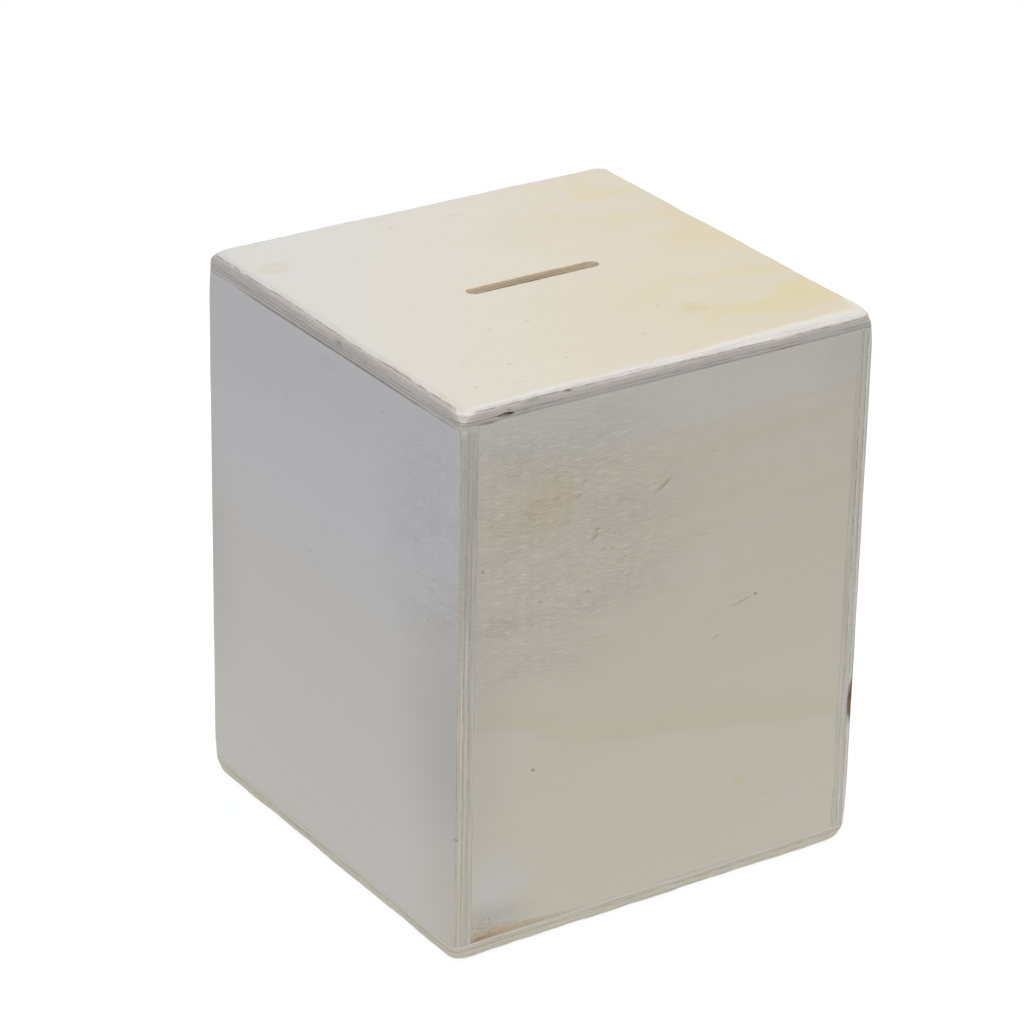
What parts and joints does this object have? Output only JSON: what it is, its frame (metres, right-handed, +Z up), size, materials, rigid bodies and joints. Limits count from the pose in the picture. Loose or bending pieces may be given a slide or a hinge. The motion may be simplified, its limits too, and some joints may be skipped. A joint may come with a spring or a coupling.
{
  "type": "money box",
  "caption": "Rectangular plywood money box with a coin slot in the top, butt-jointed walls with softly sanded edges, and a push-in stopper in the base.",
  "frame": {"origin": "centre of the underside, on the surface the box stands on", "axes": "+Z up, -Y out of the front wall, +X to the right seen from the front; the coin slot runs along X"},
  "size_m": [0.099, 0.097, 0.122],
  "materials": {
    "birch_plywood": "raw, sanded, unvarnished birch plywood",
    "stopper_rubber": "moulded black rubber, matt"
  },
  "bodies": {
    "box": {"top_panel": "birch_plywood", "base_panel": "birch_plywood", "front_panel": "birch_plywood", "back_panel": "birch_plywood", "left_panel": "birch_plywood", "right_panel": "birch_plywood"},
    "stopper": {"stopper": "stopper_rubber"}
  },
  "joints": [
    {"name": "stopper_pull", "type": "slide", "parent": "box", "child": "stopper", "axis": [0, 0, -1], "range_m": [0, 0.04]}
  ]
}
